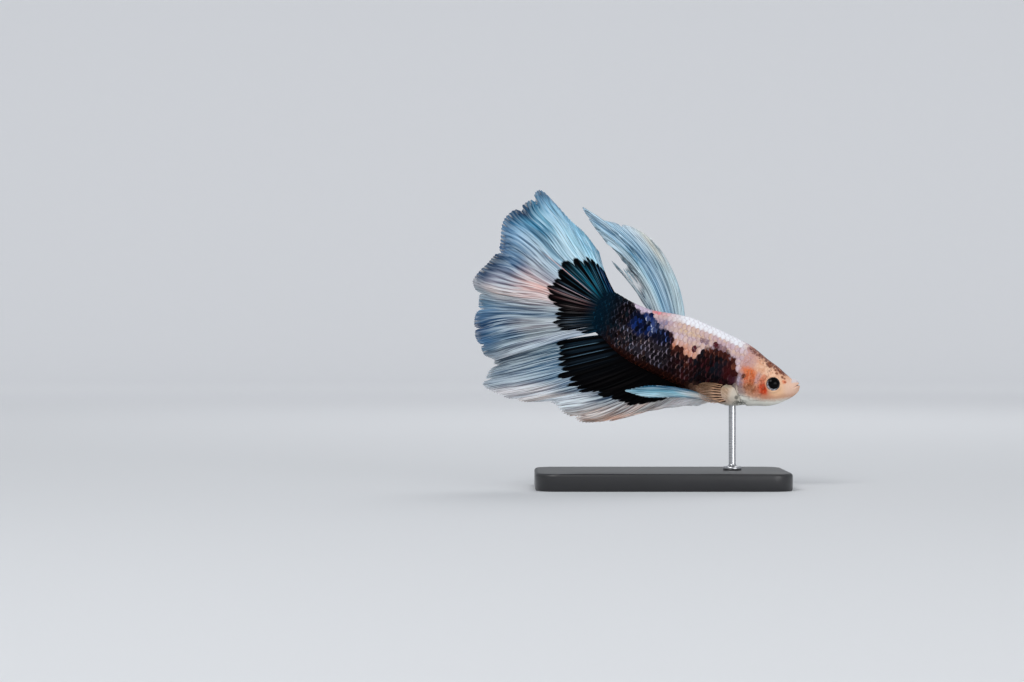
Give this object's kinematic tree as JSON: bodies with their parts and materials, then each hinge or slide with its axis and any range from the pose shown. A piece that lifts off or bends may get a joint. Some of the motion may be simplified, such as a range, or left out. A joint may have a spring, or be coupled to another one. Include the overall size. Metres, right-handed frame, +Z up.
{
  "type": "betta fish",
  "caption": "Life-size still model of a male betta fish, nose down with its long fins spread, held by one rod over a flat display base.",
  "frame": {"origin": "the middle of the stand's flat underside", "axes": "+Z up; +X towards the fish's snout, along its length as seen from above; the fish's right side faces -Y"},
  "size_m": [0.0751, 0.034, 0.0685],
  "materials": {
    "head_skin": "moist scaled skin, peach and orange with lavender-white streaks",
    "scaled_skin": "moist scales, pinkish white along the back, dark maroon and blue-black on the flank",
    "fin_membrane": "thin pleated fin, pale blue and white rays over a black root patch",
    "eye": "wet black eye with a thin silver ring",
    "stand_base": "satin black",
    "stand_rod": "fine brushed"
  },
  "bodies": {
    "root": {"head": "head_skin", "lower_jaw": "head_skin", "gill_cover_right": "head_skin", "gill_cover_left": "head_skin", "eye_right": "eye", "eye_left": "eye", "trunk": "scaled_skin", "tail_root": "scaled_skin", "tail_fin": "fin_membrane", "dorsal_fin": "fin_membrane", "anal_fin": "fin_membrane", "pectoral_fin_right": "fin_membrane", "pectoral_fin_left": "fin_membrane", "pelvic_fin_right": "fin_membrane", "pelvic_fin_left": "fin_membrane", "stand_base": "stand_base", "stand_rod": "stand_rod"}
  },
  "joints": []
}
